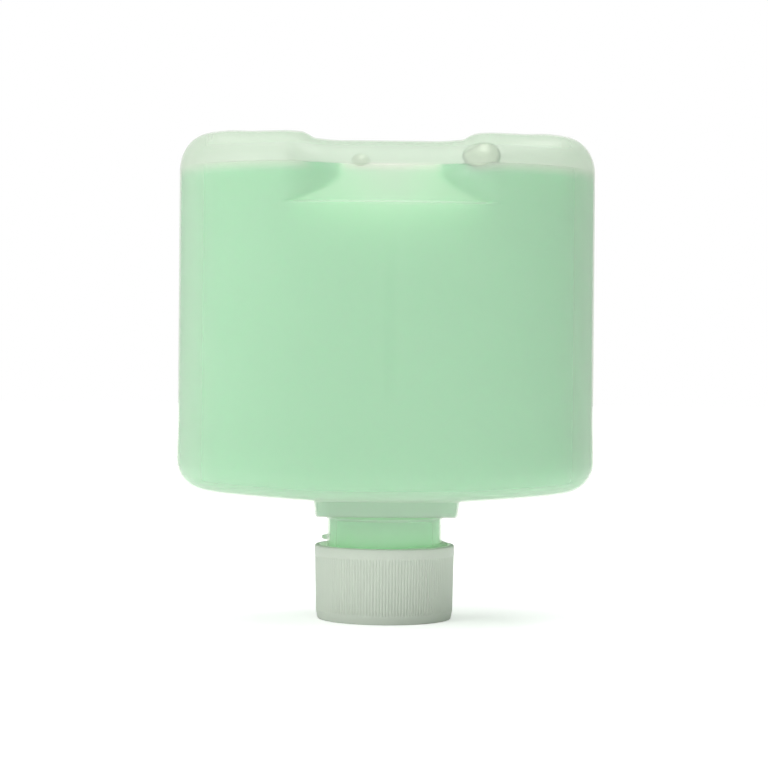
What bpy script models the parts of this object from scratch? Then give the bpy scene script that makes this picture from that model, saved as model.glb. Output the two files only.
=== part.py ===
"""A hand soap refill pack: a flat-sided blow-moulded bottle, full of soap, upside down on its screw cap.

Metres, +Z up. The origin is the centre of the cap's end face. The broad front of the bottle faces -Y.
"""

import math

import bmesh
import bpy
from mathutils import Vector

# Screw cap
CAP_HEIGHT = 0.0218
CAP_WALL = 0.00162
CAP_TAPER = 0.00042
CAP_BEVEL = 0.00045
CAP_BEVEL_HEIGHT = 0.0024
CAP_END_ROUND = 0.0003
CAP_BAND_HEIGHT = 0.0028
CAP_RIM_ROUND = 0.0006
CAP_END_WALL = 0.0015
CAP_RIBS = 140
RIB_DEPTH = 0.00022
RIB_END_SLOPE = 0.0003
RIB_BELOW_BAND = 0.0001

# Screw thread, right-handed, shared by neck and cap
THREAD_PITCH = 0.00423
NECK_THREAD_TURNS = 4
CAP_THREAD_TURNS = 3.5
THREAD_DEPTH = 0.0017
THREAD_FOOT = 0.0021
THREAD_CREST = 0.0008
THREAD_CLEARANCE = 0.00035
THREAD_FLANK_GAP = 0.0003
THREAD_ROOT = 0.0004
THREAD_TOP_Z = 0.02403
THREAD_TOP_ANGLE = math.radians(200)
THREAD_FADE_ANGLE = math.radians(20)
CAP_THREAD_TURNS_BELOW = 1.4

# Sealing liner in the cap's end
SEAT_GAP = 0.0003
LINER_THICKNESS = 0.001
LINER_EDGE_GAP = 0.0006

# Neck and collar of the bottle
NECK_RADIUS = 0.0169
NECK_WALL = 0.0016
NECK_FILLET = 0.0022
COLLAR_LOW_Z = 0.0308
COLLAR_REACH = 0.0036
COLLAR_FLARE = 0.0005
COLLAR_CORNER = 0.003
COLLAR_EDGE = 0.0005

# Body of the bottle
BODY_WIDTH = 0.1221
BODY_DEPTH = 0.072
PLAN_EXPONENT = 2.4
WALL = 0.001
SHOULDER_RISE = 0.005
SHOULDER_FLAT_HALF = 0.0195
SHOULDER_SLOPE = 0.053
SHOULDER_ROUND_HEIGHT = 0.0088
SHOULDER_ROUND_WIDTH = 0.0089
SHOULDER_ROUND_DEPTH = 0.0062
BULGE = 0.00028
BULGE_Z = 0.0474
BULGE_SPREAD = 0.007
FOOT_Z = 0.1414
FOOT_RISE = 0.0005
FOOT_RISE_START = 0.037
FOOT_RISE_END = 0.0455
FOOT_ROUND_HEIGHT = 0.011
FOOT_ROUND_WIDTH = 0.009
FOOT_ROUND_DEPTH = 0.0174
CHANNEL_DEPTH = 0.0015
CHANNEL_FLOOR_HALF = 0.0207
CHANNEL_TOP_HALF = 0.0247

# Recess in the front of the base
RECESS_LENGTH = 0.0218
RECESS_SLOPE = 0.55
RECESS_STEP = 0.0006
RECESS_STEP_RISE = 0.0008
RECESS_LOW_HALF = 0.0288
RECESS_HIGH_HALF = 0.013
RECESS_NARROWING = 0.009
RECESS_SIDE_HALF = 0.0305

# Soap
SOAP_GAP = 0.0003
HEADSPACE = 0.0101

# Fineness of the meshes
COLUMNS = 64
COLUMN_CROWDING = 0.15
CAP_COLUMNS = 70
LINER_COLUMNS = 48
THREAD_STEPS_PER_TURN = 28
SMOOTH_ANGLE = math.radians(35)
SEAM_DISTANCE = 1e-6

LINER_LOW_Z = CAP_END_WALL + SEAT_GAP
LIP_Z = LINER_LOW_Z + LINER_THICKNESS + SEAT_GAP
CAP_BORE_RADIUS = NECK_RADIUS + THREAD_DEPTH + THREAD_CLEARANCE
CAP_BAND_RADIUS = CAP_BORE_RADIUS + CAP_WALL
CAP_LOW_RADIUS = CAP_BAND_RADIUS - CAP_TAPER
CAP_END_RADIUS = CAP_LOW_RADIUS - CAP_BEVEL
COLLAR_LOW_HALF = NECK_RADIUS + COLLAR_REACH
COLLAR_TOP_HALF = COLLAR_LOW_HALF + COLLAR_FLARE
SHOULDER_Z = COLLAR_LOW_Z + SHOULDER_RISE
RECESS_Z = FOOT_Z - RECESS_LENGTH
SOAP_LEVEL_Z = FOOT_Z - HEADSPACE
SOAP_INSET = WALL + SOAP_GAP
SHOULDER_ROUND = (SHOULDER_ROUND_WIDTH, SHOULDER_ROUND_DEPTH)
FOOT_ROUND = (FOOT_ROUND_WIDTH, FOOT_ROUND_DEPTH)


def smooth_step(low, high, value):
    """0 below low, 1 above high, and a smooth rise between."""
    share = min(max((value - low) / (high - low), 0.0), 1.0)
    return share * share * (3 - 2 * share)


def spread(count, start=0.0, end=1.0):
    """count values from just after start up to end."""
    return [start + (end - start) * step / count for step in range(1, count + 1)]


def turned_circle(radius, z, columns):
    """Evenly spaced points round the axis."""
    angles = [math.tau * step / columns for step in range(columns)]
    return [Vector((radius * math.cos(t), radius * math.sin(t), z)) for t in angles]


def column_angles():
    """Directions of the bottle's columns, closer together across the broad front and back."""
    even = [math.tau * step / COLUMNS for step in range(COLUMNS)]
    return [t + COLUMN_CROWDING * math.sin(2 * t) for t in even]


def circle(radius, z):
    return [Vector((radius * math.cos(t), radius * math.sin(t), z)) for t in column_angles()]


def body_point(t, inset):
    """A point of the body's plan outline, drawn in by inset, a pair for x and y. t runs round from +X."""
    c, s = math.cos(t), math.sin(t)
    power = 2 / PLAN_EXPONENT
    x = math.copysign((BODY_WIDTH / 2 - inset[0]) * abs(c) ** power, c)
    y = math.copysign((BODY_DEPTH / 2 - inset[1]) * abs(s) ** power, s)
    return x, y


def round_inset(sizes, inset, share):
    """How far a rounded edge of the given width and depth is in from the plan outline.

    share is 0 where the round meets the flat and 1 where it meets the wall. inset is the skin's own.
    """
    return tuple(size - (size - inset) * share for size in sizes)


def collar_point(t, half, corner):
    """Where a ray at angle t leaves a square with rounded corners."""
    c, s = abs(math.cos(t)), abs(math.sin(t))
    reach = half / max(c, s)
    centre = half - corner
    if reach * min(c, s) > centre:
        along = centre * (c + s)
        aside = 2 * centre**2 - along**2
        reach = along + math.sqrt(corner**2 - aside)
    return reach * math.cos(t), reach * math.sin(t)


def shoulder_z(x):
    """The shoulder is level round the collar and rises gently towards both ends."""
    return SHOULDER_Z + SHOULDER_SLOPE * max(0.0, abs(x) - SHOULDER_FLAT_HALF)


def top_z(x):
    """Two feet with a channel from front to back between them. The outer ends stand a little proud."""
    rise = FOOT_RISE * smooth_step(FOOT_RISE_START, FOOT_RISE_END, abs(x))
    channel = CHANNEL_DEPTH * (1 - smooth_step(CHANNEL_FLOOR_HALF, CHANNEL_TOP_HALF, abs(x)))
    return FOOT_Z + rise - channel


def bulge(z):
    return BULGE * math.exp(-(((z - BULGE_Z) / BULGE_SPREAD) ** 2))


def recess_depth(x, z):
    """How far the recess sets the front wall back: a ramp that narrows upwards, with sides that lean out."""
    rise = max(0.0, z - RECESS_Z)
    ramp = RECESS_STEP * smooth_step(0, RECESS_STEP_RISE, rise) + RECESS_SLOPE * rise
    left = max(0.0, 1 - rise / RECESS_NARROWING)
    floor_half = RECESS_HIGH_HALF + (RECESS_LOW_HALF - RECESS_HIGH_HALF) * left**2
    return ramp * (1 - smooth_step(floor_half, RECESS_SIDE_HALF, abs(x)))


def pushed_in(x, y, z, share=1.0):
    """A point of the body with the recess applied to the front."""
    if y < 0:
        y += recess_depth(x, z) * share
    return Vector((x, y, z))


def collar_row(half, corner, z_of_x):
    row = []
    for t in column_angles():
        x, y = collar_point(t, half, corner)
        row.append(Vector((x, y, z_of_x(x))))
    return row


def neck_rows(inset, neck_inset):
    """From the lip up the neck, and out through the fillet under the collar."""
    radius = NECK_RADIUS - neck_inset
    seat_z = COLLAR_LOW_Z + inset
    rows = [circle(radius, LIP_Z), circle(radius, seat_z - NECK_FILLET)]
    for angle in spread(2, end=math.pi / 2):
        out = NECK_FILLET * (1 - math.cos(angle))
        rows.append(circle(radius + out, seat_z - NECK_FILLET * (1 - math.sin(angle))))
    return rows


def collar_rows(inset):
    low_z = COLLAR_LOW_Z + inset
    corner = COLLAR_CORNER - inset
    low_half = COLLAR_LOW_HALF - inset
    edge_half = low_half - COLLAR_EDGE
    return [
        collar_row(edge_half, corner - COLLAR_EDGE, lambda x: low_z),
        collar_row(low_half, corner, lambda x: low_z + COLLAR_EDGE),
        collar_row(COLLAR_TOP_HALF - inset, corner, lambda x: shoulder_z(x) + inset),
    ]


def shoulder_rows(inset):
    """From the collar out over the shoulder, and round the lower corner to the wall."""
    rows = []
    for share in spread(2):
        row = []
        for t in column_angles():
            near = collar_point(t, COLLAR_TOP_HALF - inset, COLLAR_CORNER - inset)
            far = body_point(t, SHOULDER_ROUND)
            x = near[0] + (far[0] - near[0]) * share
            y = near[1] + (far[1] - near[1]) * share
            row.append(Vector((x, y, shoulder_z(x) + inset)))
        rows.append(row)
    for angle in spread(3, end=math.pi / 2):
        row = []
        for t in column_angles():
            wall_z = shoulder_z(body_point(t, SHOULDER_ROUND)[0]) + SHOULDER_ROUND_HEIGHT
            z = wall_z - (SHOULDER_ROUND_HEIGHT - inset) * math.cos(angle)
            insets = round_inset(SHOULDER_ROUND, inset, math.sin(angle))
            x, y = body_point(t, [size - bulge(z) for size in insets])
            row.append(Vector((x, y, z)))
        rows.append(row)
    return rows


def wall_rows(inset):
    """Up the straight wall, with a row on the recess's lower edge."""
    mid_z = (BULGE_Z + RECESS_Z) / 2
    above_step = RECESS_Z + RECESS_STEP_RISE
    last_z = FOOT_Z - CHANNEL_DEPTH - FOOT_ROUND_HEIGHT
    heights = [BULGE_Z + BULGE_SPREAD, mid_z, RECESS_Z, above_step, (above_step + last_z) / 2]
    rows = []
    for z in heights:
        outline = [body_point(t, [inset - bulge(z)] * 2) for t in column_angles()]
        rows.append([pushed_in(x, y, z) for x, y in outline])
    return rows


def crown_row(inset, level_share, rest_share):
    """One row of the rounded edge round the base.

    level_share runs from the foot of the round to the soap's level, rest_share from there to the top.
    """
    height = FOOT_ROUND_HEIGHT - inset
    row = []
    for t in column_angles():
        low_z = top_z(body_point(t, FOOT_ROUND)[0]) - FOOT_ROUND_HEIGHT
        level_angle = math.asin((SOAP_LEVEL_Z - low_z) / height)
        angle = level_angle * level_share + (math.pi / 2 - level_angle) * rest_share
        x, y = body_point(t, round_inset(FOOT_ROUND, inset, math.cos(angle)))
        row.append(pushed_in(x, y, low_z + height * math.sin(angle)))
    return row


def closing_rows(edge, surface_z, steps):
    """Rows that close a rim over its middle line, y = 0, along straight lines from front to back."""
    rows = []
    for share in spread(steps):
        rows.append([Vector((p.x, p.y * (1 - share), surface_z(p.x))) for p in edge])
    return rows


def rows_to_level(inset, neck_inset):
    """The rows of one skin from the bottle's mouth to the soap's level."""
    rows = neck_rows(inset, neck_inset) + collar_rows(inset) + shoulder_rows(inset) + wall_rows(inset)
    return rows + [crown_row(inset, 0.0, 0.0), crown_row(inset, 1.0, 0.0)]


def bottle_rows(inset, neck_inset):
    """Every row of one skin of the bottle's wall, from the lip to the middle of the base."""
    rows = rows_to_level(inset, neck_inset)
    rows += [crown_row(inset, 1.0, share) for share in spread(4)]
    return rows + closing_rows(rows[-1], lambda x: top_z(x) - inset, 3)


def soap_rows():
    """The inside of the bottle, less a gap, filled up to the soap's level."""
    rows = rows_to_level(SOAP_INSET, NECK_WALL + SOAP_GAP)
    return rows + closing_rows(rows[-1], lambda x: SOAP_LEVEL_Z, 2)


def add_row(mesh, row):
    return [mesh.verts.new(point) for point in row]


def join_rows(mesh, low, high):
    """Faces between two closed rows. A row with several times the points of the other has them shared out."""
    if len(low) > len(high):
        low, high = high, low
    times = len(high) // len(low)
    for i, vert in enumerate(low):
        following = low[(i + 1) % len(low)]
        fine = [high[(i * times + step) % len(high)] for step in range(times + 1)]
        if times == 1:
            left = vert.co.x + following.co.x < 0
            corners = (vert, following, fine[1], fine[0])
            mesh.faces.new(corners if left else corners[1:] + corners[:1])
            continue
        half = times // 2
        for step in range(times):
            corner = vert if step < half else following
            mesh.faces.new((corner, fine[step + 1], fine[step]))
        mesh.faces.new((vert, following, fine[half]))


def join_all(mesh, rows):
    for low, high in zip(rows, rows[1:]):
        join_rows(mesh, low, high)


def split_quads(mesh):
    """The twisted four-sided faces of every skin are split the same way, so that the skins stay parallel."""
    bmesh.ops.triangulate(mesh, faces=mesh.faces, quad_method="FIXED")


def make_object(name, mesh, material):
    """Closes the seams, turns every face outwards and adds the object to the scene."""
    bmesh.ops.remove_doubles(mesh, verts=mesh.verts, dist=SEAM_DISTANCE)
    bmesh.ops.recalc_face_normals(mesh, faces=mesh.faces)
    data = bpy.data.meshes.new(name)
    mesh.to_mesh(data)
    mesh.free()
    data.shade_smooth()
    data.set_sharp_from_angle(angle=SMOOTH_ANGLE)
    obj = bpy.data.objects.new(name, data)
    bpy.context.scene.collection.objects.link(obj)
    if material:
        data.materials.append(material)
    return obj


def make_material(name, colour, roughness, alpha=1.0, transmission=0.0):
    material = bpy.data.materials.new(name)
    material.use_nodes = True
    shader = material.node_tree.nodes["Principled BSDF"]
    shader.inputs["Base Color"].default_value = (*colour, 1.0)
    shader.inputs["Roughness"].default_value = roughness
    shader.inputs["Metallic"].default_value = 0.0
    shader.inputs["Alpha"].default_value = alpha
    shader.inputs["Transmission Weight"].default_value = transmission
    return material


def make_thread(name, root_radius, crest_radius, top_angle, ridge_top_z, turns):
    """A helical ridge whose section is a trapezium, fading into its wall at both ends."""
    mesh = bmesh.new()
    inwards = crest_radius < root_radius
    hidden = root_radius + (-0.5 if inwards else 0.5) * THREAD_ROOT
    total = math.tau * turns
    steps = round(turns * THREAD_STEPS_PER_TURN)
    sections = []
    for step in range(steps + 1):
        turned = total * step / steps
        angle = top_angle - turned
        z = ridge_top_z - THREAD_PITCH * turned / math.tau
        ends = min(turned, total - turned)
        share = smooth_step(0, THREAD_FADE_ANGLE, ends)
        crest = hidden + (crest_radius - hidden) * share
        section = (
            (root_radius, -THREAD_FOOT / 2),
            (crest, -THREAD_CREST / 2),
            (crest, THREAD_CREST / 2),
            (root_radius, THREAD_FOOT / 2),
        )
        sections.append(
            [mesh.verts.new((r * math.cos(angle), r * math.sin(angle), z + up)) for r, up in section]
        )
    for near, far in zip(sections, sections[1:]):
        join_rows(mesh, near, far)
    mesh.faces.new(sections[0])
    mesh.faces.new(sections[-1])
    ridge = make_object(name, mesh, None)
    ridge.hide_render = True
    ridge.display_type = "WIRE"
    return ridge


def join_thread(obj, ridge):
    union = obj.modifiers.new("thread", "BOOLEAN")
    union.operation = "UNION"
    union.solver = "EXACT"
    union.object = ridge


def make_bottle(material):
    mesh = bmesh.new()
    inner = [add_row(mesh, row) for row in bottle_rows(WALL, NECK_WALL)]
    outer = [add_row(mesh, row) for row in bottle_rows(0.0, 0.0)]
    join_all(mesh, inner)
    join_all(mesh, outer)
    join_rows(mesh, inner[0], outer[0])
    split_quads(mesh)
    bottle = make_object("bottle", mesh, material)
    root = NECK_RADIUS - THREAD_ROOT
    crest = NECK_RADIUS + THREAD_DEPTH
    ridge = make_thread("neck_ridge", root, crest, THREAD_TOP_ANGLE, THREAD_TOP_Z, NECK_THREAD_TURNS)
    join_thread(bottle, ridge)
    return bottle


def make_soap(material):
    mesh = bmesh.new()
    rows = [add_row(mesh, row) for row in soap_rows()]
    mesh.faces.new(rows[0])
    join_all(mesh, rows)
    split_quads(mesh)
    return make_object("soap_fill", mesh, material)


def ribbed_row(crest_radius, z):
    """A row of crests and valleys, two points to a rib."""
    row = turned_circle(crest_radius, z, 2 * CAP_RIBS)
    for vert in row[1::2]:
        shrink = 1 - RIB_DEPTH / crest_radius
        vert.x *= shrink
        vert.y *= shrink
    return row


def make_cap(material):
    """One turned shell with a ribbed grip, open at the top, with the inside thread joined on."""
    mesh = bmesh.new()
    band_low_z = CAP_HEIGHT - CAP_BAND_HEIGHT
    rib_low = ribbed_row(CAP_LOW_RADIUS, CAP_BEVEL_HEIGHT + RIB_END_SLOPE)
    rib_high = ribbed_row(CAP_BAND_RADIUS - RIB_BELOW_BAND, band_low_z - RIB_END_SLOPE)
    below_ribs = [
        (CAP_END_RADIUS - CAP_END_ROUND, 0.0),
        (CAP_END_RADIUS, CAP_END_ROUND),
        (CAP_LOW_RADIUS, CAP_BEVEL_HEIGHT),
    ]
    above_ribs = [
        (CAP_BAND_RADIUS, band_low_z),
        (CAP_BAND_RADIUS, CAP_HEIGHT - CAP_RIM_ROUND),
        (CAP_BAND_RADIUS - CAP_RIM_ROUND, CAP_HEIGHT),
        (CAP_BORE_RADIUS, CAP_HEIGHT),
        (CAP_BORE_RADIUS, CAP_END_WALL),
    ]
    profile = [turned_circle(radius, z, CAP_COLUMNS) for radius, z in below_ribs]
    profile += [rib_low, rib_high]
    profile += [turned_circle(radius, z, CAP_COLUMNS) for radius, z in above_ribs]
    rows = [add_row(mesh, row) for row in profile]
    mesh.faces.new(rows[0])
    mesh.faces.new(rows[-1])
    join_all(mesh, rows)
    cap = make_object("screw_cap", mesh, material)
    half_taper = (THREAD_FOOT - THREAD_CREST) / 2
    height = THREAD_DEPTH + THREAD_ROOT
    half_beside_crest = THREAD_FOOT / 2 - half_taper * (THREAD_ROOT + THREAD_CLEARANCE) / height
    above_neck_ridge = THREAD_CREST / 2 + half_beside_crest + THREAD_FLANK_GAP
    root = CAP_BORE_RADIUS + THREAD_ROOT
    crest = NECK_RADIUS + THREAD_CLEARANCE
    top_angle = THREAD_TOP_ANGLE - math.tau * CAP_THREAD_TURNS_BELOW
    ridge_top_z = THREAD_TOP_Z + above_neck_ridge - THREAD_PITCH * CAP_THREAD_TURNS_BELOW
    join_thread(cap, make_thread("cap_ridge", root, crest, top_angle, ridge_top_z, CAP_THREAD_TURNS))
    return cap


def make_liner(material):
    mesh = bmesh.new()
    radius = CAP_BORE_RADIUS - LINER_EDGE_GAP
    low = add_row(mesh, turned_circle(radius, LINER_LOW_Z, LINER_COLUMNS))
    high = add_row(mesh, turned_circle(radius, LINER_LOW_Z + LINER_THICKNESS, LINER_COLUMNS))
    mesh.faces.new(low)
    mesh.faces.new(high)
    join_rows(mesh, low, high)
    return make_object("cap_liner", mesh, material)


def main():
    for obj in list(bpy.data.objects):
        bpy.data.objects.remove(obj)
    shell = make_material("milky_plastic", (0.80, 0.90, 0.80), 0.35, alpha=0.45)
    soap = make_material("green_soap", (0.33, 0.70, 0.41), 0.3)
    white = make_material("cap_plastic", (0.80, 0.85, 0.78), 0.4)
    foam = make_material("liner_foam", (0.86, 0.86, 0.84), 0.6)
    make_bottle(shell)
    make_soap(soap)
    make_cap(white)
    make_liner(foam)


main()
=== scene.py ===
"""The soap refill pack in a plain studio. Metres, +Z up, the broad front of the bottle faces -Y."""

import math

import bmesh
import bpy
from mathutils import Matrix, Vector


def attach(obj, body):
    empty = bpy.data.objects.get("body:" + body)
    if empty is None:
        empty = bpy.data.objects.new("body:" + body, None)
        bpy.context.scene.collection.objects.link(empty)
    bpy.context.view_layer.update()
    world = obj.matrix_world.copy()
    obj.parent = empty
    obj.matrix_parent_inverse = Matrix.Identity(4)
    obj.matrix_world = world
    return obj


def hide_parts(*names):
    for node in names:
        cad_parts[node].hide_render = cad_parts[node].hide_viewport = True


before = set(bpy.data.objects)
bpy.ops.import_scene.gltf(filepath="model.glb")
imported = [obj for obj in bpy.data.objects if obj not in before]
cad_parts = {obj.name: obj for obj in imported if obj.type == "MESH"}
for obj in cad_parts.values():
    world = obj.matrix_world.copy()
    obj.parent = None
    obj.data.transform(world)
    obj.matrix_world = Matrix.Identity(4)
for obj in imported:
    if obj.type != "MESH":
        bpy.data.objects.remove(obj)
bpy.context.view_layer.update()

# Screw cap
CAP_HEIGHT = 0.0218
CAP_WALL = 0.00162
CAP_TAPER = 0.00042
CAP_BEVEL = 0.00045
CAP_BEVEL_HEIGHT = 0.0024
CAP_END_ROUND = 0.0003
CAP_BAND_HEIGHT = 0.0028
CAP_RIM_ROUND = 0.0006
CAP_END_WALL = 0.0015
CAP_RIBS = 140
RIB_DEPTH = 0.00022
RIB_END_LENGTH = 0.0006
RIB_BELOW_BAND = 0.0001
RIB_BLUNTNESS = 0.7

# Screw thread, right-handed, shared by neck and cap
THREAD_PITCH = 0.00423
NECK_THREAD_TURNS = 4
CAP_THREAD_TURNS = 3.5
THREAD_DEPTH = 0.0017
THREAD_FOOT = 0.0021
THREAD_CREST = 0.0008
THREAD_CLEARANCE = 0.00035
THREAD_FLANK_GAP = 0.0003
THREAD_ROOT = 0.0004
THREAD_TOP_Z = 0.02403
THREAD_TOP_ANGLE = math.radians(200)
THREAD_FADE_ANGLE = math.radians(20)
CAP_THREAD_TURNS_BELOW = 1.4

# Rounding of the thread's crest: share of its height, and widths outside and inside the crest
CREST_ROUND_SHARE = 0.15
CREST_ROUND_OUT = 0.00012
CREST_ROUND_IN = 0.00015

# Sealing liner in the cap's end
SEAT_GAP = 0.0003
LINER_THICKNESS = 0.001
LINER_EDGE_GAP = 0.0006
LINER_EDGE_ROUND = LINER_THICKNESS / 5

# Neck and collar of the bottle
NECK_RADIUS = 0.0169
NECK_WALL = 0.0006
NECK_FILLET = 0.0022
COLLAR_LOW_Z = 0.0308
COLLAR_REACH = 0.0036
COLLAR_FLARE = 0.0005
COLLAR_CORNER = 0.003
COLLAR_EDGE = 0.0005

# Body of the bottle. The wall is thinner than in the solids, on its inside only.
BODY_WIDTH = 0.1221
BODY_DEPTH = 0.072
PLAN_EXPONENT = 2.4
WALL = 0.0004
SHOULDER_RISE = 0.005
SHOULDER_FLAT_HALF = 0.0195
SHOULDER_SLOPE = 0.053
SHOULDER_ROUND_HEIGHT = 0.0088
SHOULDER_ROUND_WIDTH = 0.0089
SHOULDER_ROUND_DEPTH = 0.0062
BULGE = 0.00028
BULGE_Z = 0.0474
BULGE_SPREAD = 0.007
BULGE_REACH = 3 * BULGE_SPREAD
FOOT_Z = 0.1414
FOOT_RISE = 0.0005
FOOT_RISE_START = 0.037
FOOT_RISE_END = 0.0455
FOOT_ROUND_HEIGHT = 0.011
FOOT_ROUND_WIDTH = 0.009
FOOT_ROUND_DEPTH = 0.0174
CHANNEL_DEPTH = 0.0015
CHANNEL_FLOOR_HALF = 0.0207
CHANNEL_TOP_HALF = 0.0247

# Recess in the front of the base
RECESS_LENGTH = 0.0218
RECESS_SLOPE = 0.55
RECESS_STEP = 0.0006
RECESS_STEP_RISE = 0.0008
RECESS_LOW_HALF = 0.0288
RECESS_HIGH_HALF = 0.013
RECESS_NARROWING = 0.009
RECESS_SIDE_HALF = 0.0305

# Soap
SOAP_GAP = 0.0001
HEADSPACE = 0.0101

# Air bubbles at the soap's level: (x, how far behind the front wall, how far above the level),
# (half sizes)
BUBBLES = {
    "bubble_large": ((0.0256, 0.0016, 0.0021), (0.0055, 0.0044, 0.0042)),
    "bubble_small": ((-0.0084, 0.0010, 0.0004), (0.0027, 0.0026, 0.0027)),
}
BUBBLE_GAP = 0.00012

# Fineness of the meshes
COLUMNS = 240
COLUMN_CROWDING = 0.15
NECK_ROWS = 8
NECK_FILLET_ROWS = 8
COLLAR_EDGE_ROWS = 4
SHOULDER_ROWS = 10
SHOULDER_ROUND_ROWS = 12
BULGE_ROWS = 8
WALL_ROWS = 6
GLOW_ROWS = 16
RECESS_STEP_ROWS = 4
RECESS_ROWS = 12
CROWN_ROWS_TO_LEVEL = 4
CROWN_ROWS_ABOVE = 16
CLOSING_ROWS = 10
CAP_POINTS_PER_RIB = 8
CAP_ROUND_ROWS = 4
CAP_RIM_ROWS = 6
CAP_BORE_ROWS = 4
RIB_ROWS = 8
RIB_END_ROWS = 4
THREAD_STEPS_PER_TURN = 72
LINER_COLUMNS = 128
BALL_COLUMNS = 64
BALL_ROWS = 40
WALL_SEARCH_STEPS = 4
SMOOTH_ANGLE = math.radians(40)
SEAM_DISTANCE = 1e-6

# Sizes that follow from the ones above
LINER_LOW_Z = CAP_END_WALL + SEAT_GAP
LIP_Z = LINER_LOW_Z + LINER_THICKNESS + SEAT_GAP
CAP_BORE_RADIUS = NECK_RADIUS + THREAD_DEPTH + THREAD_CLEARANCE
CAP_BAND_RADIUS = CAP_BORE_RADIUS + CAP_WALL
CAP_LOW_RADIUS = CAP_BAND_RADIUS - CAP_TAPER
CAP_END_RADIUS = CAP_LOW_RADIUS - CAP_BEVEL
COLLAR_LOW_HALF = NECK_RADIUS + COLLAR_REACH
COLLAR_TOP_HALF = COLLAR_LOW_HALF + COLLAR_FLARE
SHOULDER_Z = COLLAR_LOW_Z + SHOULDER_RISE
RECESS_Z = FOOT_Z - RECESS_LENGTH
SOAP_LEVEL_Z = FOOT_Z - HEADSPACE
SOAP_INSET = WALL + SOAP_GAP
SHOULDER_ROUND = (SHOULDER_ROUND_WIDTH, SHOULDER_ROUND_DEPTH)
FOOT_ROUND = (FOOT_ROUND_WIDTH, FOOT_ROUND_DEPTH)

# How milky the wall is, from 0 to 1, and over what lengths that changes
NECK_MILK = 0.1
THREAD_MILK_START = 0.0001
THREAD_MILK_END = 0.0008
COLLAR_MILK = 0.3
SHOULDER_MILK = 0.35
SHOULDER_MILK_REACH = 0.005
SIDE_MILK = 0.28
SIDE_MILK_REACH = 0.014
LEVEL_MILK = 0.22
LEVEL_MILK_REACH = 0.010
# Painted highlight: a pale line along the recess's lower edge, made milkier, with its height, width
# and fading ends
CREASE_HIGHLIGHT = 0.14
CREASE_RISE = 0.0002
CREASE_WIDTH = 0.0006
CREASE_END_OUT = 0.003
CREASE_END_IN = 0.004
# Painted light: the recess's floor, which faces up, made milkier and so paler
RECESS_FLOOR_LIGHT = 0.1

# Where the look of the recess begins and ends: beside its floor's edge, over its lower edge, in y
RECESS_EDGE_IN = 0.0005
RECESS_EDGE_OUT = 0.0025
RECESS_LOOK_BELOW = 0.0004
RECESS_LOOK_ABOVE = 0.0002
RECESS_LOOK_BACK_Y = -0.022
RECESS_LOOK_FRONT_Y = -0.027

# Painted light in the soap, set to match the photo: paler near its level, and a glow
TOP_LIGHT_DEPTH = 0.0034
TOP_LIGHT_START = 0.75
TOP_LIGHT_END = 0.90
GLOW_REACH = 0.016
GLOW_SIDES = 0.45
GLOW_MIDDLE_WIDTH = 0.013
GLOW_AT_CREASE = 0.75
GLOW_BELOW_CREASE = 0.7
GLOW_FADE = 0.0055
GLOW_END_IN = 0.012
NECK_GLOW = 0.45

# Glow of the cap's bore and of the lamp's reflection on each bubble, set to match the photo too
BORE_GLOW = 0.35
BORE_EDGE = 0.0006
BUBBLE_SHINE = 0.5
SHINE_EDGE = 0.42
SHINE_CORE = 0.05
SHINE_UP = 0.52
SHINE_ASIDE = 0.12
# Painted shade: the dark outline of each bubble, shifted up so that its lower side is darker
RIM_SHADE_START = 0.74
RIM_SHADE_END = 0.96
RIM_SHADE_UP = 0.06

# Colours, linear
WHITE = (1.0, 1.0, 1.0)
WALL_CLEAR = (0.962, 0.983, 0.945)
WALL_MILKY = (0.80, 0.87, 0.78)
THREAD_GREEN = (0.46, 0.72, 0.46)
SOAP_DARK = (0.365, 0.835, 0.540)
SOAP_LIGHT = (0.385, 0.855, 0.560)
# Painted light: the soap's paler colour near its level, as if lit from above
SOAP_TOP_LIT = (0.76, 0.90, 0.78)
SOAP_NECK_GLOW = (0.34, 0.62, 0.35)
SOAP_RECESS_GLOW = (0.31, 0.15, 0.24)
CAP_COLOUR = (0.66, 0.725, 0.63)
CAP_BORE_GLOW = (0.62, 0.70, 0.60)
LINER_COLOUR = (0.86, 0.86, 0.84)
BUBBLE_CLEAR = (0.94, 0.98, 0.92)
BUBBLE_MIDDLE = (0.86, 0.93, 0.80)
# Painted shade of a bubble's outline
BUBBLE_RIM_SHADE = (0.20, 0.36, 0.23)
BUBBLE_SHINE_COLOUR = (1.0, 1.0, 0.96)
FLOOR_COLOUR = (0.93, 0.93, 0.93)

# Grain of the surfaces: noise in cycles per metre, height in metres
WALL_GRAIN = 45.0
WALL_GRAIN_HEIGHT = 0.002
SOAP_CLOUDS = 18.0
FINE_GRAIN = 900.0
FINE_GRAIN_HEIGHT = 0.0001

# Floor and surroundings
FLOOR_HALF = 6.0
WHITE_FLOOR_START = 0.12
WHITE_FLOOR_END = 0.40
FLOOR_GLOW = 0.42
FLOOR_GLOW_EDGE = 0.055
AMBIENT = 0.33
TRANSPARENT_BOUNCES = 24

# Lamps, square: place, side in metres, power in watts
LAMP_TARGET = Vector((0.0, 0.0, 0.08))
LAMPS = {
    "key": ((-0.66, -0.54, 0.68), 0.5, 3.7),
    "fill": ((0.80, -0.60, 0.30), 0.8, 0.3),
    "glint": ((0.42, 0.42, 0.95), 0.12, 0.8),
    "overhead": ((0.0, 0.10, 1.00), 1.2, 6.0),
}

# Camera, set to match the photo
VIEW_DISTANCE = 0.593
EYE_HEIGHT = 0.069
VIEW_AZIMUTH = math.radians(-1.6)
VIEW_ROLL = math.radians(0.48)
VIEW_ASIDE = -0.00055
LENS = 94.1
SENSOR_WIDTH = 36.0


# Outlines


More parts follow.
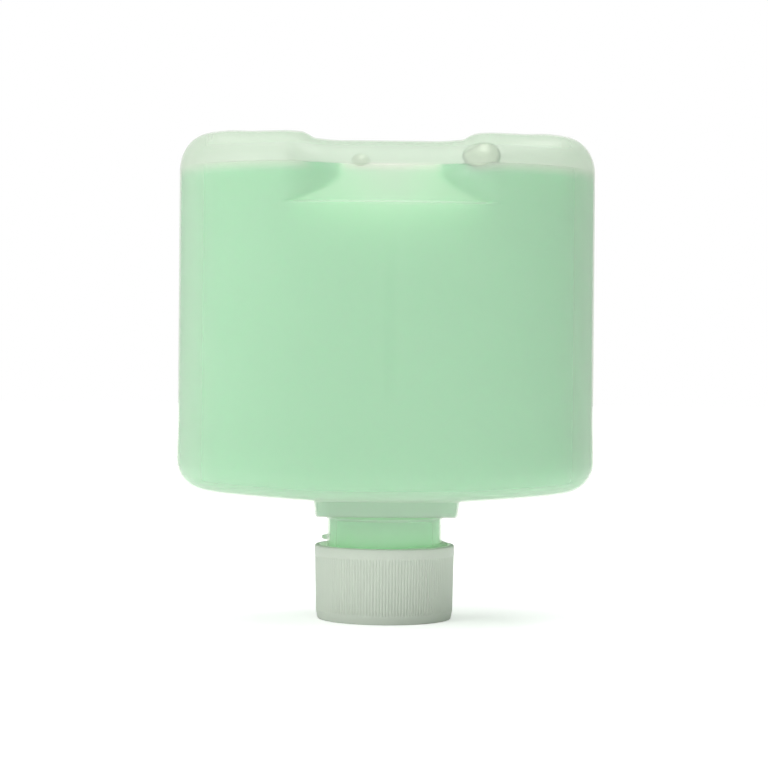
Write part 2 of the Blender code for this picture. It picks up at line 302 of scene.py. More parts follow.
def smooth_step(low, high, value):
    """0 on low's side and 1 on high's, with a smooth change between."""
    share = min(max((value - low) / (high - low), 0.0), 1.0)
    return share * share * (3 - 2 * share)


def bell(offset, width):
    """1 in the middle, fading smoothly to both sides."""
    return math.exp(-((offset / width) ** 2))


def spread(count, start=0.0, end=1.0):
    """count values from just after start up to end."""
    return [start + (end - start) * step / count for step in range(1, count + 1)]


def quarter(count):
    """count angles from just after 0 up to a quarter turn."""
    return spread(count, end=math.pi / 2)


def even_angles(count):
    return [math.tau * step / count for step in range(count)]


ANGLES = [t + COLUMN_CROWDING * math.sin(2 * t) for t in even_angles(COLUMNS)]


def circle(radius, z, angles=ANGLES):
    return [Vector((radius * math.cos(t), radius * math.sin(t), z)) for t in angles]


def body_point(t, inset):
    """A place on the body's rounded plan, inset in x and y."""
    c, s = math.cos(t), math.sin(t)
    power = 2 / PLAN_EXPONENT
    x = math.copysign((BODY_WIDTH / 2 - inset[0]) * abs(c) ** power, c)
    y = math.copysign((BODY_DEPTH / 2 - inset[1]) * abs(s) ** power, s)
    return x, y


def round_inset(sizes, inset, share):
    """The insets in x and y along a rounded edge: its sizes at share 0, the wall's inset at 1."""
    return tuple(size - (size - inset) * share for size in sizes)


def collar_point(t, half, corner):
    """A place on a square with rounded corners."""
    c, s = abs(math.cos(t)), abs(math.sin(t))
    reach = half / max(c, s)
    centre = half - corner
    if reach * min(c, s) > centre:
        along = centre * (c + s)
        aside = 2 * centre**2 - along**2
        reach = along + math.sqrt(corner**2 - aside)
    return reach * math.cos(t), reach * math.sin(t)


def shoulder_z(x):
    return SHOULDER_Z + SHOULDER_SLOPE * max(0.0, abs(x) - SHOULDER_FLAT_HALF)


def top_z(x):
    """The top of the feet and of the channel between them."""
    rise = FOOT_RISE * smooth_step(FOOT_RISE_START, FOOT_RISE_END, abs(x))
    channel = CHANNEL_DEPTH * (1 - smooth_step(CHANNEL_FLOOR_HALF, CHANNEL_TOP_HALF, abs(x)))
    return FOOT_Z + rise - channel


def bulge(z):
    return BULGE * bell(z - BULGE_Z, BULGE_SPREAD)


def recess_floor_half(rise):
    """Half the width of the recess's floor, at a rise above its lower edge."""
    left = min(max(1 - rise / RECESS_NARROWING, 0.0), 1.0)
    return RECESS_HIGH_HALF + (RECESS_LOW_HALF - RECESS_HIGH_HALF) * left**2


def recess_depth(x, z):
    rise = max(0.0, z - RECESS_Z)
    ramp = RECESS_STEP * smooth_step(0, RECESS_STEP_RISE, rise) + RECESS_SLOPE * rise
    return ramp * (1 - smooth_step(recess_floor_half(rise), RECESS_SIDE_HALF, abs(x)))


def recess_share(x, z):
    """1 on the floor of the recess, 0 outside it."""
    rise = z - RECESS_Z
    edge = recess_floor_half(rise)
    across = 1 - smooth_step(edge - RECESS_EDGE_IN, edge + RECESS_EDGE_OUT, abs(x))
    return across * smooth_step(-RECESS_LOOK_BELOW, RECESS_LOOK_ABOVE, rise)


def pushed_in(x, y, z):
    """The place, moved back where the recess is."""
    if y < 0:
        y += recess_depth(x, z)
    return Vector((x, y, z))


def front_wall_y(x, z, inset):
    """The front wall's y at a place on the crown."""
    inset_x = inset
    for _ in range(WALL_SEARCH_STEPS):
        crown_x = x * (BODY_WIDTH / 2 - FOOT_ROUND_WIDTH) / (BODY_WIDTH / 2 - inset_x)
        rise = (z - top_z(crown_x) + FOOT_ROUND_HEIGHT) / (FOOT_ROUND_HEIGHT - inset)
        angle = math.asin(min(max(rise, 0.0), 1.0))
        inset_x, inset_y = round_inset(FOOT_ROUND, inset, math.cos(angle))
    across = min(abs(x) / (BODY_WIDTH / 2 - inset_x), 1.0)
    y = -(BODY_DEPTH / 2 - inset_y) * (1 - across**PLAN_EXPONENT) ** (1 / PLAN_EXPONENT)
    return y + recess_depth(x, z)


# Rows of points round the bottle, from the lip upwards


def collar_row(half, corner, z_of_x):
    points = [collar_point(t, half, corner) for t in ANGLES]
    return [Vector((x, y, z_of_x(x))) for x, y in points]


def neck_rows(inset, neck_inset):
    radius = NECK_RADIUS - neck_inset
    seat_z = COLLAR_LOW_Z + inset
    heights = [LIP_Z] + spread(NECK_ROWS, LIP_Z, seat_z - NECK_FILLET)
    rows = [circle(radius, z) for z in heights]
    for angle in quarter(NECK_FILLET_ROWS):
        out = NECK_FILLET * (1 - math.cos(angle))
        rows.append(circle(radius + out, seat_z - NECK_FILLET * (1 - math.sin(angle))))
    return rows


def collar_rows(inset):
    low_z = COLLAR_LOW_Z + inset
    corner = COLLAR_CORNER - inset
    low_half = COLLAR_LOW_HALF - inset
    rows = []
    for angle in [0.0] + quarter(COLLAR_EDGE_ROWS):
        back = COLLAR_EDGE * (1 - math.sin(angle))
        up = COLLAR_EDGE * (1 - math.cos(angle))
        rows.append(collar_row(low_half - back, corner - back, lambda x, up=up: low_z + up))
    rows.append(collar_row(COLLAR_TOP_HALF - inset, corner, lambda x: shoulder_z(x) + inset))
    return rows


def shoulder_rows(inset):
    rows = []
    for share in spread(SHOULDER_ROWS):
        row = []
        for t in ANGLES:
            near = collar_point(t, COLLAR_TOP_HALF - inset, COLLAR_CORNER - inset)
            far = body_point(t, SHOULDER_ROUND)
            x = near[0] + (far[0] - near[0]) * share
            y = near[1] + (far[1] - near[1]) * share
            row.append(Vector((x, y, shoulder_z(x) + inset)))
        rows.append(row)
    for angle in quarter(SHOULDER_ROUND_ROWS):
        row = []
        for t in ANGLES:
            wall_z = shoulder_z(body_point(t, SHOULDER_ROUND)[0]) + SHOULDER_ROUND_HEIGHT
            z = wall_z - (SHOULDER_ROUND_HEIGHT - inset) * math.cos(angle)
            insets = round_inset(SHOULDER_ROUND, inset, math.sin(angle))
            x, y = body_point(t, [size - bulge(z) for size in insets])
            row.append(Vector((x, y, z)))
        rows.append(row)
    return rows


def wall_rows(inset):
    glow_z = RECESS_Z - GLOW_REACH
    step_z = RECESS_Z + RECESS_STEP_RISE
    crown_z = FOOT_Z - CHANNEL_DEPTH - FOOT_ROUND_HEIGHT
    heights = spread(BULGE_ROWS, BULGE_Z, BULGE_Z + BULGE_REACH)
    heights += spread(WALL_ROWS, heights[-1], glow_z)
    heights += spread(GLOW_ROWS, glow_z, RECESS_Z)
    heights += spread(RECESS_STEP_ROWS, RECESS_Z, step_z)
    heights += spread(RECESS_ROWS, step_z, crown_z)[:-1]
    rows = []
    for z in heights:
        outline = [body_point(t, [inset - bulge(z)] * 2) for t in ANGLES]
        rows.append([pushed_in(x, y, z) for x, y in outline])
    return rows


def crown_row(inset, level_share, rest_share):
    """A row on the crown: level_share of the way to the soap's level, then rest_share on."""
    height = FOOT_ROUND_HEIGHT - inset
    row = []
    for t in ANGLES:
        low_z = top_z(body_point(t, FOOT_ROUND)[0]) - FOOT_ROUND_HEIGHT
        level_angle = math.asin((SOAP_LEVEL_Z - low_z) / height)
        angle = level_angle * level_share + (math.pi / 2 - level_angle) * rest_share
        x, y = body_point(t, round_inset(FOOT_ROUND, inset, math.cos(angle)))
        row.append(pushed_in(x, y, low_z + height * math.sin(angle)))
    return row


def closing_rows(edge, surface_z):
    """Rows that close a surface from its edge to its middle line."""
    rows = []
    for share in spread(CLOSING_ROWS):
        rows.append([Vector((p.x, p.y * (1 - share), surface_z(p.x))) for p in edge])
    return rows


def rows_to_level(inset, neck_inset):
    rows = neck_rows(inset, neck_inset) + collar_rows(inset)
    rows += shoulder_rows(inset) + wall_rows(inset)
    rows += [crown_row(inset, share, 0.0) for share in [0.0] + spread(CROWN_ROWS_TO_LEVEL)]
    return rows


def bottle_rows(inset, neck_inset):
    rows = rows_to_level(inset, neck_inset)
    rows += [crown_row(inset, 1.0, share) for share in spread(CROWN_ROWS_ABOVE)]
    return rows + closing_rows(rows[-1], lambda x: top_z(x) - inset)


def soap_rows():
    rows = rows_to_level(SOAP_INSET, NECK_WALL + SOAP_GAP)
    return rows + closing_rows(rows[-1], lambda x: SOAP_LEVEL_Z)


# Meshes


def add_row(mesh, row):
    return [mesh.verts.new(point) for point in row]


def join_rows(mesh, low, high):
    for i in range(len(low)):
        j = (i + 1) % len(low)
        mesh.faces.new((low[i], low[j], high[j], high[i]))


def join_all(mesh, rows):
    for low, high in zip(rows, rows[1:]):
        join_rows(mesh, low, high)


def close_ends(mesh, rows):
    mesh.faces.new(rows[0])
    mesh.faces.new(rows[-1])


def make_object(name, mesh, material):
    bmesh.ops.remove_doubles(mesh, verts=mesh.verts, dist=SEAM_DISTANCE)
    bmesh.ops.recalc_face_normals(mesh, faces=mesh.faces)
    data = bpy.data.meshes.new(name)
    mesh.to_mesh(data)
    mesh.free()
    data.shade_smooth()
    data.set_sharp_from_angle(angle=SMOOTH_ANGLE)
    obj = bpy.data.objects.new(name, data)
    bpy.context.scene.collection.objects.link(obj)
    if material:
        data.materials.append(material)
    return obj


def store_shares(obj, name, share_at):
    """Writes a number to every point of obj, for its material to read."""
    attribute = obj.data.attributes.new(name, "FLOAT", "POINT")
    attribute.data.foreach_set("value", [share_at(v.co) for v in obj.data.vertices])


def combine(obj, tool, operation):
    """Joins tool to obj or cuts it out of obj, and removes it."""
    step = obj.modifiers.new("combine", "BOOLEAN")
    step.operation = operation
    step.solver = "EXACT"
    step.object = tool
    graph = bpy.context.evaluated_depsgraph_get()
    result = bpy.data.meshes.new_from_object(obj.evaluated_get(graph))
    obj.modifiers.clear()
    obj.data = result
    result.set_sharp_from_angle(angle=SMOOTH_ANGLE)
    bpy.data.objects.remove(tool)


def join_thread(obj, root_radius, crest_radius, top_angle, ridge_top_z, turns):
    """Joins a helical ridge to obj, fading into its wall at both ends."""
    mesh = bmesh.new()
    hidden = root_radius + math.copysign(THREAD_ROOT / 2, crest_radius - root_radius)
    total = math.tau * turns
    steps = round(turns * THREAD_STEPS_PER_TURN)
    sections = []
    for step in range(steps + 1):
        turned = total * step / steps
        angle = top_angle - turned
        z = ridge_top_z - THREAD_PITCH * turned / math.tau
        share = smooth_step(0, THREAD_FADE_ANGLE, min(turned, total - turned))
        crest = hidden + (crest_radius - hidden) * share
        shoulder = crest - (crest - hidden) * CREST_ROUND_SHARE
        section = (
            (root_radius, -THREAD_FOOT / 2),
            (shoulder, -THREAD_CREST / 2 - CREST_ROUND_OUT),
            (crest, -THREAD_CREST / 2 + CREST_ROUND_IN),
            (crest, THREAD_CREST / 2 - CREST_ROUND_IN),
            (shoulder, THREAD_CREST / 2 + CREST_ROUND_OUT),
            (root_radius, THREAD_FOOT / 2),
        )
        c, s = math.cos(angle), math.sin(angle)
        sections.append(add_row(mesh, [(r * c, r * s, z + up) for r, up in section]))
    join_all(mesh, sections)
    close_ends(mesh, sections)
    combine(obj, make_object("ridge", mesh, None), "UNION")


def ball(centre, sizes):
    mesh = bmesh.new()
    bmesh.ops.create_uvsphere(mesh, u_segments=BALL_COLUMNS, v_segments=BALL_ROWS, radius=1.0)
    bmesh.ops.scale(mesh, verts=mesh.verts, vec=sizes)
    bmesh.ops.translate(mesh, verts=mesh.verts, vec=centre)
    return mesh


# Materials


def set_inputs(tree, node, inputs):
    """Sets each input of node, or links it where the value is another node's output."""
    for key, value in inputs.items():
        socket = node.inputs[key]
        if isinstance(value, bpy.types.NodeSocket):
            tree.links.new(value, socket)
        elif socket.type == "RGBA":
            socket.default_value = (*value, 1.0)
        else:
            socket.default_value = value


def add_node(tree, kind, inputs, **settings):
    node = tree.nodes.new(kind)
    for name, value in settings.items():
        setattr(node, name, value)
    set_inputs(tree, node, inputs)
    return node


def new_material(name):
    material = bpy.data.materials.new(name)
    material.use_nodes = True
    return material, material.node_tree, material.node_tree.nodes["Principled BSDF"]


def object_place(tree):
    """The place in the object's own coordinates."""
    return add_node(tree, "ShaderNodeTexCoord", {}).outputs["Object"]


def stored_share(tree, name):
    """The number that store_shares wrote to the points under this name."""
    return add_node(tree, "ShaderNodeAttribute", {}, attribute_name=name).outputs["Fac"]


def camera_rays(tree):
    """1 for what the camera sees, 0 for what lights the scene."""
    return add_node(tree, "ShaderNodeLightPath", {}).outputs["Is Camera Ray"]


def remap(tree, value, limits, **settings):
    inputs = {"Value": value, **limits}
    return add_node(tree, "ShaderNodeMapRange", inputs, **settings).outputs["Result"]


def calculate(tree, operation, first, second):
    return add_node(tree, "ShaderNodeMath", {0: first, 1: second}, operation=operation).outputs[0]


def blend_colours(tree, share, first, second):
    inputs = {"Factor": share, "A": first, "B": second}
    return add_node(tree, "ShaderNodeMix", inputs, data_type="RGBA").outputs["Result"]


def mix_shaders(tree, share, first, second):
    inputs = {"Fac": share, 1: first.outputs[0], 2: second.outputs[0]}
    return add_node(tree, "ShaderNodeMixShader", inputs)


def show(tree, shader):
    set_inputs(tree, tree.nodes["Material Output"], {"Surface": shader.outputs[0]})


def make_see_through(tree, shader, amount, clear_colour):
    """Shows the shader by amount and lets light pass tinted for the rest."""
    clear = add_node(tree, "ShaderNodeBsdfTransparent", {"Color": clear_colour})
    show(tree, mix_shaders(tree, amount, clear, shader))


def add_noise(tree, scale, detail=2.0):
    inputs = {"Vector": object_place(tree), "Scale": scale, "Detail": detail}
    return add_node(tree, "ShaderNodeTexNoise", inputs).outputs["Fac"]


def add_grain(tree, shader, scale, strength, height):
    """Fine bumps on the surface."""
    inputs = {"Height": add_noise(tree, scale), "Strength": strength, "Distance": height}
    bump = add_node(tree, "ShaderNodeBump", inputs)
    set_inputs(tree, shader, {"Normal": bump.outputs["Normal"]})


def shell_material():
    """Milky polyethylene: partly see-through, with a soft satin gloss."""
    material, tree, shader = new_material("milky_plastic")
    # How milky the wall is, with painted light added at the recess: a highlight along its lower
    # edge and a paler floor
    milk_and_light = stored_share(tree, "milk_and_light")
    on_thread = remap(tree, milk_and_light, {"From Min": 0.55, "From Max": 0.80})
    looks = {
        "Base Color": blend_colours(tree, on_thread, WALL_MILKY, THREAD_GREEN),
        "Roughness": 0.36,
        "IOR": 1.5,
        "Sheen Weight": 0.25,
        "Sheen Roughness": 0.4,
    }
    set_inputs(tree, shader, looks)
    add_grain(tree, shader, WALL_GRAIN, strength=0.12, height=WALL_GRAIN_HEIGHT)
    amount = remap(tree, milk_and_light, {"To Min": 0.24, "To Max": 0.62})
    make_see_through(tree, shader, amount, WALL_CLEAR)
    return material


def soap_colour(tree):
    """Green with faint clouds, made paler where painted light from above falls near its level."""
    ramp = add_node(tree, "ShaderNodeValToRGB", {"Fac": add_noise(tree, SOAP_CLOUDS, detail=1.0)})
    dark, light = ramp.color_ramp.elements
    dark.position, dark.color = 0.35, (*SOAP_DARK, 1.0)
    light.position, light.color = 0.65, (*SOAP_LIGHT, 1.0)
    return blend_colours(tree, stored_share(tree, "top_light"), ramp.outputs["Color"], SOAP_TOP_LIT)


def soap_material():
    """Cloudy green soap. It glows a little in the neck and round the recess."""
    material, tree, shader = new_material("green_soap")
    height = add_node(tree, "ShaderNodeSeparateXYZ", {"Vector": object_place(tree)}).outputs["Z"]
    neck_limits = {
        "From Min": CAP_HEIGHT,
        "From Max": COLLAR_LOW_Z,
        "To Min": NECK_GLOW,
        "To Max": 0.0,
    }
    in_neck = remap(tree, height, neck_limits)
    at_recess = stored_share(tree, "glow")
    looks = {
        "Base Color": soap_colour(tree),
        "Roughness": 0.3,
        "Specular IOR Level": 0.2,
        "Subsurface Weight": 0.8,
        "Subsurface Scale": 0.008,
        "Subsurface Radius": (0.9, 1.0, 0.9),
        "Emission Color": blend_colours(tree, at_recess, SOAP_NECK_GLOW, SOAP_RECESS_GLOW),
        "Emission Strength": calculate(tree, "ADD", in_neck, at_recess),
    }
    set_inputs(tree, shader, looks)
    return material


def plain_material(name, colour, roughness, grain):
    material, tree, shader = new_material(name)
    set_inputs(tree, shader, {"Base Color": colour, "Roughness": roughness})
    add_grain(tree, shader, FINE_GRAIN, grain, FINE_GRAIN_HEIGHT)
    return material


def cap_material():
    """Translucent polypropylene. Its bore glows a little, as if lit through the neck."""
    material = plain_material("cap_plastic", CAP_COLOUR, roughness=0.42, grain=0.10)
    tree = material.node_tree
    glow = {
        "Emission Color": CAP_BORE_GLOW,
        "Emission Strength": calculate(tree, "MULTIPLY", stored_share(tree, "hollow"), BORE_GLOW),
    }
    set_inputs(tree, tree.nodes["Principled BSDF"], glow)
    return material


def bubble_material():
    """A thin wet film with a painted dark outline, darker at its lower side, and a painted
    reflection of the lamp on it.
    """
    material, tree, shader = new_material("bubble_film")
    rim_shade = stored_share(tree, "rim_shade")
    shine = stored_share(tree, "shine")
    looks = {
        "Base Color": blend_colours(tree, rim_shade, BUBBLE_MIDDLE, BUBBLE_RIM_SHADE),
        "Roughness": 0.12,
        "Emission Color": BUBBLE_SHINE_COLOUR,
        "Emission Strength": calculate(tree, "MULTIPLY", shine, BUBBLE_SHINE),
    }
    set_inputs(tree, shader, looks)
    amount = remap(tree, rim_shade, {"To Min": 0.55, "To Max": 0.92})
    make_see_through(tree, shader, amount, BUBBLE_CLEAR)
    return material


# Looks that change over a piece, stored at its points


def milkiness_and_light(place):
    """How milky the wall is: most on the thread, a little at collar and edges, with painted light
    added: a highlight along the recess's lower edge and a paler recess floor, which faces up.
    """
    x, y, z = place
    if z < COLLAR_LOW_Z:
        low, high = NECK_RADIUS + THREAD_MILK_START, NECK_RADIUS + THREAD_MILK_END
        return NECK_MILK + (1 - NECK_MILK) * smooth_step(low, high, math.hypot(x, y))
    low_z = shoulder_z(x)
    if z < low_z:
        return COLLAR_MILK
    side_x = BODY_WIDTH / 2
    at_shoulder = SHOULDER_MILK * smooth_step(low_z + SHOULDER_MILK_REACH, low_z, z)
    at_side = SIDE_MILK * smooth_step(side_x - SIDE_MILK_REACH, side_x, abs(x))
    share = max(at_shoulder, at_side)
    if z > SOAP_LEVEL_Z:
        over_level = LEVEL_MILK * smooth_step(SOAP_LEVEL_Z + LEVEL_MILK_REACH, SOAP_LEVEL_Z, z)
        return max(share, over_level)
    if y < 0:
        # Painted highlight: a pale line along the recess's lower edge
        crease = bell(z - RECESS_Z - CREASE_RISE, CREASE_WIDTH)
        out, end = RECESS_LOW_HALF + CREASE_END_OUT, RECESS_LOW_HALF - CREASE_END_IN
        crease *= smooth_step(out, end, abs(x))
        # Painted light: the recess's floor, which faces up, is made paler
        share = max(share, CREASE_HIGHLIGHT * crease, RECESS_FLOOR_LIGHT * recess_share(x, z))
    return share


def recess_wall_share(place):
    """1 on the recess's floor, 0 farther back on the soap's surface."""
    in_front = smooth_step(RECESS_LOOK_BACK_Y, RECESS_LOOK_FRONT_Y, place.y)
    return recess_share(place.x, place.z) * in_front


def top_light_share(place):
    """How much painted light from above pales the soap: near its level, along the wall and on the
    recess's floor.
    """
    x, y, z = place
    x_share, y_share = abs(2 * x / BODY_WIDTH), abs(2 * y / BODY_DEPTH)
    across = x_share**PLAN_EXPONENT + y_share**PLAN_EXPONENT
    at_wall = max(smooth_step(TOP_LIGHT_START, TOP_LIGHT_END, across), recess_wall_share(place))
    return at_wall * smooth_step(SOAP_LEVEL_Z - TOP_LIGHT_DEPTH, SOAP_LEVEL_Z, z)


def glow_share(place):
    """Where the light from the channel and the recess gathers in the soap."""
    x, y, z = place
    if y > 0 or z < RECESS_Z - GLOW_REACH:
        return 0.0
    middle = GLOW_SIDES + (1 - GLOW_SIDES) * bell(x, GLOW_MIDDLE_WIDTH)
    if z > RECESS_Z:
        rise = (z - RECESS_Z) / (SOAP_LEVEL_Z - RECESS_Z)
        brightness = GLOW_AT_CREASE + (1 - GLOW_AT_CREASE) * rise
        return middle * brightness * recess_wall_share(place)
    out, end = RECESS_LOW_HALF + CREASE_END_OUT, RECESS_LOW_HALF - GLOW_END_IN
    fade = math.exp((z - RECESS_Z) / GLOW_FADE)
    return middle * smooth_step(out, end, abs(x)) * GLOW_BELOW_CREASE * fade


def hollow_share(place):
    """1 in the cap's bore, 0 on its outside."""
    out = math.hypot(place.x, place.y)
    return smooth_step(CAP_BORE_RADIUS + BORE_EDGE, CAP_BORE_RADIUS, out)


# Pieces


def make_bottle(material):
    mesh = bmesh.new()
    inner = [add_row(mesh, row) for row in bottle_rows(WALL, NECK_WALL)]
    outer = [add_row(mesh, row) for row in bottle_rows(0.0, 0.0)]
    join_all(mesh, inner)
    join_all(mesh, outer)
    join_rows(mesh, inner[0], outer[0])
    bottle = make_object("bottle_fine", mesh, material)
    root = NECK_RADIUS - THREAD_ROOT
    crest = NECK_RADIUS + THREAD_DEPTH
    join_thread(bottle, root, crest, THREAD_TOP_ANGLE, THREAD_TOP_Z, NECK_THREAD_TURNS)
    store_shares(bottle, "milk_and_light", milkiness_and_light)
    return bottle


def bubble_place(centre):
    x, behind_wall, above_level = centre
    z = SOAP_LEVEL_Z + above_level
    return Vector((x, front_wall_y(x, z, WALL) + behind_wall, z))


def make_soap(material):
    mesh = bmesh.new()
    rows = [add_row(mesh, row) for row in soap_rows()]
    mesh.faces.new(rows[0])
    join_all(mesh, rows)
    soap = make_object("soap_fine", mesh, material)
    for centre, sizes in BUBBLES.values():
        hollow = make_object("hollow", ball(bubble_place(centre), sizes), None)
        combine(soap, hollow, "DIFFERENCE")
    store_shares(soap, "glow", glow_share)
    store_shares(soap, "top_light", top_light_share)
    return soap


def make_bubble(name, material):
    """A film of soap round air, pressed against the inside of the front wall."""
    centre, sizes = BUBBLES[name]
    middle = bubble_place(centre)
    mesh = ball(middle, [size - BUBBLE_GAP for size in sizes])
    for vert in mesh.verts:
        vert.co.y = max(vert.co.y, front_wall_y(vert.co.x, vert.co.z, WALL + BUBBLE_GAP))
    bubble = make_object(name, mesh, material)

    def off_middle(place, up, aside=0.0):
        x = (place.x - middle.x) / sizes[0] - aside
        z = (place.z - middle.z) / sizes[2] - up
        return math.hypot(x, z)

    # Painted shade: a dark outline, darker at the lower side
    def rim_shade_share(place):
        return smooth_step(RIM_SHADE_START, RIM_SHADE_END, off_middle(place, RIM_SHADE_UP))

    def shine_share(place):
        return smooth_step(SHINE_EDGE, SHINE_CORE, off_middle(place, SHINE_UP, SHINE_ASIDE))

    store_shares(bubble, "rim_shade", rim_shade_share)
    store_shares(bubble, "shine", shine_share)
    return bubble


def ribbed_row(crest_radius, z, depth):
    """Rounded ribs with narrow valleys between them."""
    row = []
    for t in even_angles(CAP_RIBS * CAP_POINTS_PER_RIB):
        wave = abs(math.sin(t * CAP_RIBS / 2))
        radius = crest_radius - depth * (1 - wave**RIB_BLUNTNESS)
        row.append(Vector((radius * math.cos(t), radius * math.sin(t), z)))
    return row


def cap_profile():
    """Radius, height and depth of the ribs, from the end's edge up and down again into the bore."""
    band_low_z = CAP_HEIGHT - CAP_BAND_HEIGHT
    rib_low_z = CAP_BEVEL_HEIGHT + RIB_END_LENGTH
    rib_length = band_low_z - CAP_BEVEL_HEIGHT - 2 * RIB_END_LENGTH
    rib_top_radius = CAP_BAND_RADIUS - RIB_BELOW_BAND
    profile = [(CAP_END_RADIUS - CAP_END_ROUND, 0.0, 0.0)]
    for angle in quarter(CAP_ROUND_ROWS):
        out = CAP_END_RADIUS - CAP_END_ROUND * (1 - math.sin(angle))
        profile.append((out, CAP_END_ROUND * (1 - math.cos(angle)), 0.0))
    profile.append((CAP_LOW_RADIUS, CAP_BEVEL_HEIGHT, 0.0))
    for share in spread(RIB_END_ROWS):
        z = CAP_BEVEL_HEIGHT + RIB_END_LENGTH * share
        profile.append((CAP_LOW_RADIUS, z, RIB_DEPTH * math.sin(share * math.pi / 2)))
    for share in spread(RIB_ROWS):
        radius = CAP_LOW_RADIUS + (rib_top_radius - CAP_LOW_RADIUS) * share
        profile.append((radius, rib_low_z + rib_length * share, RIB_DEPTH))
    for share in spread(RIB_END_ROWS):
        z = band_low_z - RIB_END_LENGTH * (1 - share)
        radius = rib_top_radius + RIB_BELOW_BAND * share
        profile.append((radius, z, RIB_DEPTH * math.cos(share * math.pi / 2)))
    for angle in [0.0] + quarter(CAP_RIM_ROWS):
        radius = CAP_BAND_RADIUS - CAP_RIM_ROUND * (1 - math.cos(angle))
        profile.append((radius, CAP_HEIGHT - CAP_RIM_ROUND * (1 - math.sin(angle)), 0.0))
    for angle in quarter(CAP_ROUND_ROWS):
        radius = CAP_BORE_RADIUS + CAP_END_ROUND * (1 - math.sin(angle))
        profile.append((radius, CAP_HEIGHT - CAP_END_ROUND * (1 - math.cos(angle)), 0.0))
    for z in spread(CAP_BORE_ROWS, CAP_HEIGHT - CAP_END_ROUND, CAP_END_WALL):
        profile.append((CAP_BORE_RADIUS, z, 0.0))
    return profile


def join_cap_thread(cap):
    """The cap's ridge runs just above the neck's, whose flanks it clears."""
    half_taper = (THREAD_FOOT - THREAD_CREST) / 2
    height = THREAD_DEPTH + THREAD_ROOT
    half_beside_crest = THREAD_FOOT / 2 - half_taper * (THREAD_ROOT + THREAD_CLEARANCE) / height
    above_neck_ridge = THREAD_CREST / 2 + half_beside_crest + THREAD_FLANK_GAP
    root = CAP_BORE_RADIUS + THREAD_ROOT
    crest = NECK_RADIUS + THREAD_CLEARANCE
    top_angle = THREAD_TOP_ANGLE - math.tau * CAP_THREAD_TURNS_BELOW
    ridge_top_z = THREAD_TOP_Z + above_neck_ridge - THREAD_PITCH * CAP_THREAD_TURNS_BELOW
    join_thread(cap, root, crest, top_angle, ridge_top_z, CAP_THREAD_TURNS)


def make_cap(material):
    mesh = bmesh.new()
    rows = [add_row(mesh, ribbed_row(*place)) for place in cap_profile()]
    close_ends(mesh, rows)
    join_all(mesh, rows)
    cap = make_object("cap_fine", mesh, material)
    join_cap_thread(cap)
    store_shares(cap, "hollow", hollow_share)
    return cap


def make_liner(material):
    radius = CAP_BORE_RADIUS - LINER_EDGE_GAP
    low_z, high_z = LINER_LOW_Z, LINER_LOW_Z + LINER_THICKNESS
    profile = (
        (radius - LINER_EDGE_ROUND, low_z),
        (radius, low_z + LINER_EDGE_ROUND),
        (radius, high_z - LINER_EDGE_ROUND),
        (radius - LINER_EDGE_ROUND, high_z),
    )
    mesh = bmesh.new()
    angles = even_angles(LINER_COLUMNS)
    rows = [add_row(mesh, circle(r, z, angles)) for r, z in profile]
    close_ends(mesh, rows)
    join_all(mesh, rows)
    return make_object("liner_fine", mesh, material)


bottle = make_bottle(shell_material())
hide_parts("bottle")
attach(bottle, "pack")

soap_body = make_soap(soap_material())
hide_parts("soap_fill")
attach(soap_body, "pack")

cap = make_cap(cap_material())
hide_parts("screw_cap")
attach(cap, "cap")

liner = make_liner(plain_material("liner_foam", LINER_COLOUR, roughness=0.6, grain=0.4))
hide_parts("cap_liner")
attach(liner, "liner")

film = bubble_material()
for name in BUBBLES:
    bubble = make_bubble(name, film)
    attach(bubble, "pack")

# Studio


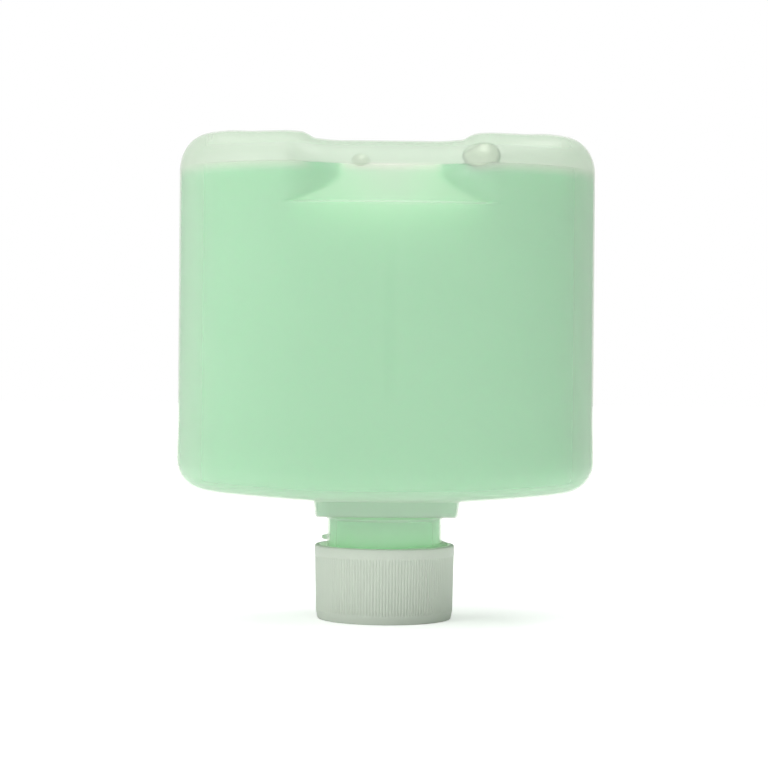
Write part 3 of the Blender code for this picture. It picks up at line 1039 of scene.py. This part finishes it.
def floor_material():
    """Near the object it takes light and shadow. Farther out the camera sees it as plain white.

    It also glows a little, which lights the object from below.
    """
    material, tree, shader = new_material("floor_white")
    looks = {"Base Color": FLOOR_COLOUR, "Roughness": 0.6, "Specular IOR Level": 0.2}
    set_inputs(tree, shader, looks)
    vector = {0: object_place(tree)}
    length = add_node(tree, "ShaderNodeVectorMath", vector, operation="LENGTH").outputs["Value"]
    seen = camera_rays(tree)
    white_limits = {"From Min": WHITE_FLOOR_START, "From Max": WHITE_FLOOR_END}
    far = remap(tree, length, white_limits, interpolation_type="SMOOTHSTEP")
    white = add_node(tree, "ShaderNodeEmission", {})
    surface = mix_shaders(tree, calculate(tree, "MULTIPLY", far, seen), shader, white)
    glow_limits = {
        "From Min": CAP_END_RADIUS,
        "From Max": FLOOR_GLOW_EDGE,
        "To Max": FLOOR_GLOW,
    }
    beside = remap(tree, length, glow_limits, interpolation_type="SMOOTHSTEP")
    strength = add_node(tree, "ShaderNodeMix", {"Factor": seen, "A": beside, "B": FLOOR_GLOW})
    glow = add_node(tree, "ShaderNodeEmission", {"Strength": strength.outputs["Result"]})
    both = {0: surface.outputs[0], 1: glow.outputs[0]}
    show(tree, add_node(tree, "ShaderNodeAddShader", both))
    return material


floor_mesh = bmesh.new()
bmesh.ops.create_grid(floor_mesh, x_segments=1, y_segments=1, size=FLOOR_HALF)
floor = make_object("floor", floor_mesh, floor_material())

scene = bpy.context.scene

for name, (place, side, power) in LAMPS.items():
    light = bpy.data.lights.new(name, "AREA")
    light.shape = "SQUARE"
    light.size = side
    light.energy = power
    lamp = bpy.data.objects.new(name, light)
    lamp.location = place
    lamp.rotation_euler = (LAMP_TARGET - Vector(place)).to_track_quat("-Z", "Y").to_euler()
    scene.collection.objects.link(lamp)

# The camera sees plain white, and the scene is lit by a dimmer white
world = scene.world or bpy.data.worlds.new("studio")
scene.world = world
world.use_nodes = True
sky = world.node_tree
sky.nodes.clear()
dim = add_node(sky, "ShaderNodeBackground", {"Color": WHITE, "Strength": AMBIENT})
bright = add_node(sky, "ShaderNodeBackground", {"Color": WHITE, "Strength": 1.0})
surroundings = mix_shaders(sky, camera_rays(sky), dim, bright)
add_node(sky, "ShaderNodeOutputWorld", {"Surface": surroundings.outputs[0]})

camera_data = bpy.data.cameras.new("camera")
camera_data.lens = LENS
camera_data.sensor_width = SENSOR_WIDTH
camera = bpy.data.objects.new("camera", camera_data)
forward = Vector((-math.sin(VIEW_AZIMUTH), math.cos(VIEW_AZIMUTH), 0.0))
aside = Vector((math.cos(VIEW_AZIMUTH), math.sin(VIEW_AZIMUTH), 0.0))
eye = -forward * VIEW_DISTANCE + aside * VIEW_ASIDE + Vector((0.0, 0.0, EYE_HEIGHT))
facing = forward.to_track_quat("-Z", "Y").to_matrix().to_4x4()
camera.matrix_world = Matrix.Translation(eye) @ facing @ Matrix.Rotation(VIEW_ROLL, 4, "Z")
scene.collection.objects.link(camera)
scene.camera = camera

scene.view_settings.view_transform = "Standard"
scene.cycles.transparent_max_bounces = TRANSPARENT_BOUNCES
